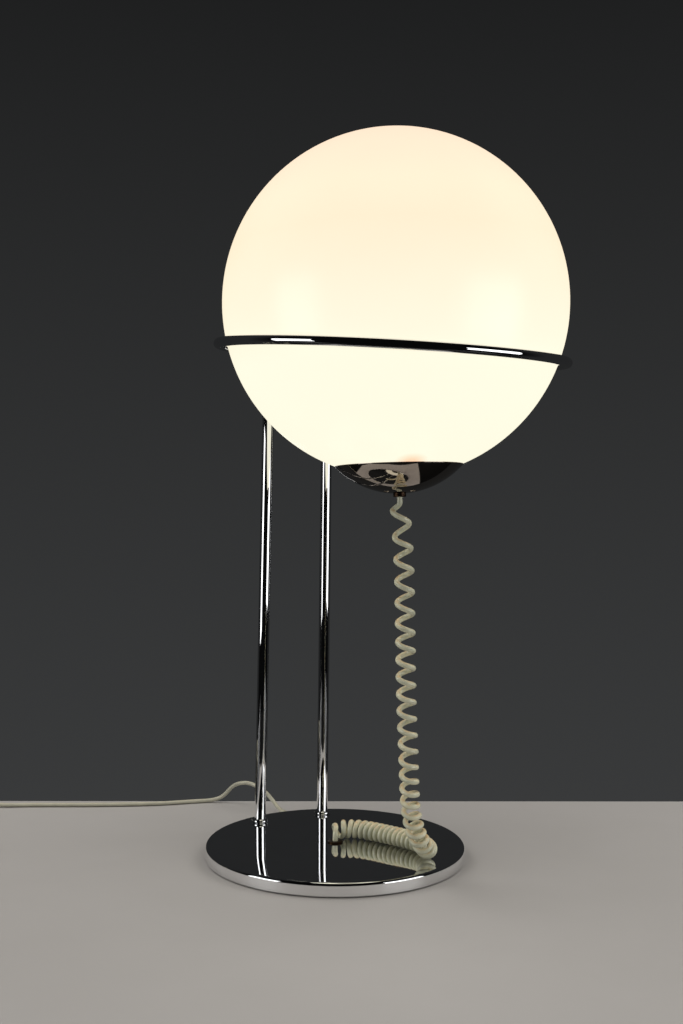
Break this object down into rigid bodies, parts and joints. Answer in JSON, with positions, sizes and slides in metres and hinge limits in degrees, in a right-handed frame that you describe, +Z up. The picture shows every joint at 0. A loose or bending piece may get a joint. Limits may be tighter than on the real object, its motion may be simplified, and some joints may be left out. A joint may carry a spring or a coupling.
{
  "type": "table lamp",
  "caption": "Glass globe table lamp: an opal globe tilts in a bent metal hoop on slim uprights over a round weighted base, with a curly cord from the globe's cap to the base.",
  "frame": {"origin": "middle of the underside of the base, on the felt", "axes": "+Z up, -Y to the front, where the globe hangs out over the base, +X to the right as seen from the front"},
  "size_m": [0.5539, 0.6275, 0.6628],
  "materials": {
    "chrome": "polished",
    "opal_glass": "gloss",
    "bulb_glass": "frosted",
    "bulb_metal": "satin",
    "brass": "plain",
    "zinc_steel": "zinc plated",
    "dark_steel": "black oxide",
    "spring_steel": "plain",
    "cast_iron": "as cast, painted",
    "felt": "pressed felt",
    "bronze": "dark bronze",
    "moulding": "moulded",
    "holder_ceramic": "glazed ceramic look",
    "clear_bumper": "clear, soft",
    "curly_sheath": "aged ivory, ribbed lengthwise",
    "lead_sheath": "smooth, aged",
    "core_sheath": "smooth",
    "fitting": "moulded",
    "tie": "plain"
  },
  "bodies": {
    "stand": {"base_cover": "chrome", "base_felt": "felt", "base_weight": "cast_iron", "bottom_plate": "zinc_steel", "centre_grommet": "bronze", "clamp_bar": "zinc_steel", "clamp_block": "moulding", "clamp_screws": "zinc_steel", "coil_tie": "tie", "cord_cores": "core_sheath", "curly_cord": "curly_sheath", "foot_bolts": "zinc_steel", "foot_plugs": "zinc_steel", "foot_washers": "zinc_steel", "grub_screws": "dark_steel", "hoop": "chrome", "hoop_pads": "clear_bumper", "lead_coil": "lead_sheath", "lead_cores": "core_sheath", "lead_end": "lead_sheath", "lead_stretch": "lead_sheath", "lead_tail": "lead_sheath", "left_collar": "chrome", "left_upright": "chrome", "mains_lead": "lead_sheath", "mains_relief": "lead_sheath", "plate_screws": "zinc_steel", "plug_body": "fitting", "plug_pins": "brass", "plug_sleeve": "fitting", "right_collar": "chrome", "right_upright": "chrome", "switch_base": "fitting", "switch_contacts": "brass", "switch_cover": "fitting", "switch_screws": "zinc_steel", "terminal_block": "moulding", "terminal_screws": "brass"},
    "swivel": {"cord_bush": "bronze", "bush_clip": "spring_steel", "lamp_cores": "core_sheath"},
    "globe": {"glass_globe": "opal_glass", "cap": "chrome", "threaded_nipple": "bronze", "lock_nuts": "brass", "cap_spring": "spring_steel", "lampholder_body": "holder_ceramic", "lampholder_insert": "holder_ceramic", "thread_shell": "brass", "centre_contact": "brass", "bulb_contact": "brass", "bulb_cap": "bulb_metal", "bulb_glass": "bulb_glass"},
    "rocker": {"switch_rocker": "fitting"}
  },
  "joints": [
    {"name": "globe_tilt", "type": "hinge", "parent": "stand", "child": "swivel", "pos_m": [0, -0.10528, 0.5128], "axis": [1, 0, 0], "range_deg": [-40, 40], "deforming": ["curly_cord"]},
    {"name": "globe_turn", "type": "hinge", "parent": "swivel", "child": "globe", "pos_m": [0, -0.10528, 0.5128], "axis": [0, 0.0645, 0.9979], "range_deg": [-175, 175]},
    {"name": "switch_rocker", "type": "hinge", "parent": "stand", "child": "rocker", "pos_m": [-0.303, 0.3444, 0.01], "axis": [-0.4431, -0.8965, 0], "range_deg": [0, 14]}
  ]
}
